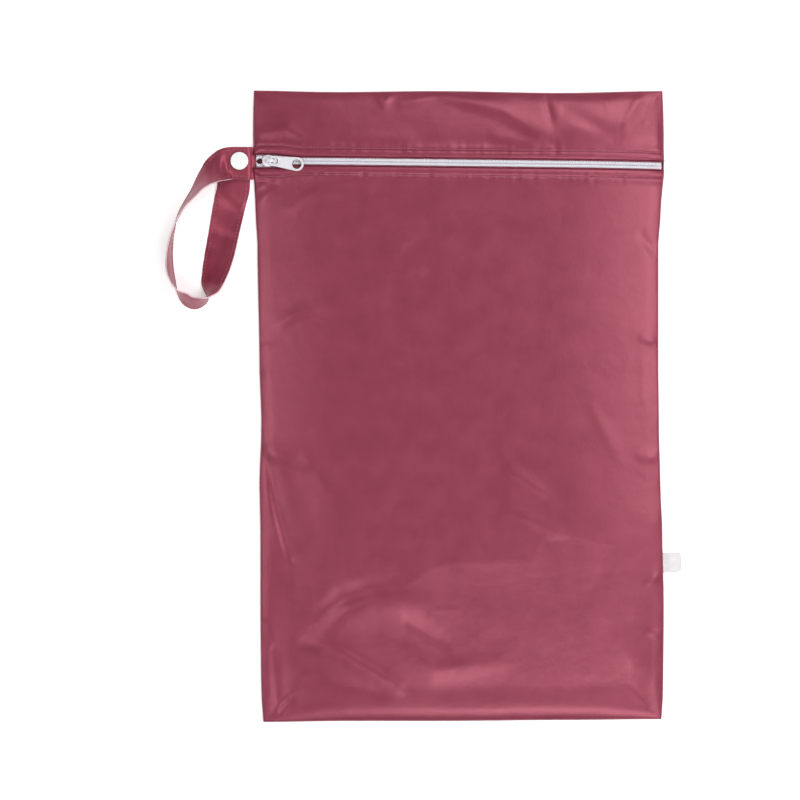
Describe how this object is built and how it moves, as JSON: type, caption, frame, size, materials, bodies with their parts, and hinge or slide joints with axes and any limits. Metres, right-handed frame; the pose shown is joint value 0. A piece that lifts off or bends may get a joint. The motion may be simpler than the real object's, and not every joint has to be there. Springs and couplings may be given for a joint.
{
  "type": "cloth diaper wet bag",
  "caption": "Flat zipped wet bag of laminated cloth, with a coil zip across its front near the top, a snap-closed wrist strap at a side seam and a small seam label.",
  "frame": {"origin": "middle of the bag's back, at floor level, with the bag lying on its back", "axes": "+X to the right across the bag, towards the label's seam; +Y up the bag, towards the top hem; +Z out of the bag's front"},
  "size_m": [0.3597, 0.4431, 0.0228],
  "materials": {
    "bag_cloth": "satin laminated polyester",
    "strap_cloth": "satin laminated polyester, doubled and stitched",
    "zip_tape": "woven polyester tape",
    "zip_coil": "satin nylon coil",
    "zip_slider": "white lacquer",
    "snap_plastic": "gloss",
    "label_ribbon": "woven satin ribbon"
  },
  "bodies": {
    "bag": {"back_panel": "bag_cloth", "front_panel": "bag_cloth", "top_panel": "bag_cloth", "zip_tape_upper": "zip_tape", "zip_tape_lower": "zip_tape", "zip_coil_upper": "zip_coil", "zip_coil_lower": "zip_coil", "zip_slider": "zip_slider", "strap": "strap_cloth", "snap_cap": "snap_plastic", "snap_socket": "snap_plastic", "snap_stud": "snap_plastic", "snap_back": "snap_plastic", "side_label": "label_ribbon"},
    "pull_tab": {"zip_pull": "zip_slider"}
  },
  "joints": [
    {"name": "pull_hinge", "type": "hinge", "parent": "bag", "child": "pull_tab", "pos_m": [-0.1315, 0.17135, 0.00923], "axis": [-0.1414, -0.9898, -0.0172], "range_deg": [0, 150]}
  ]
}
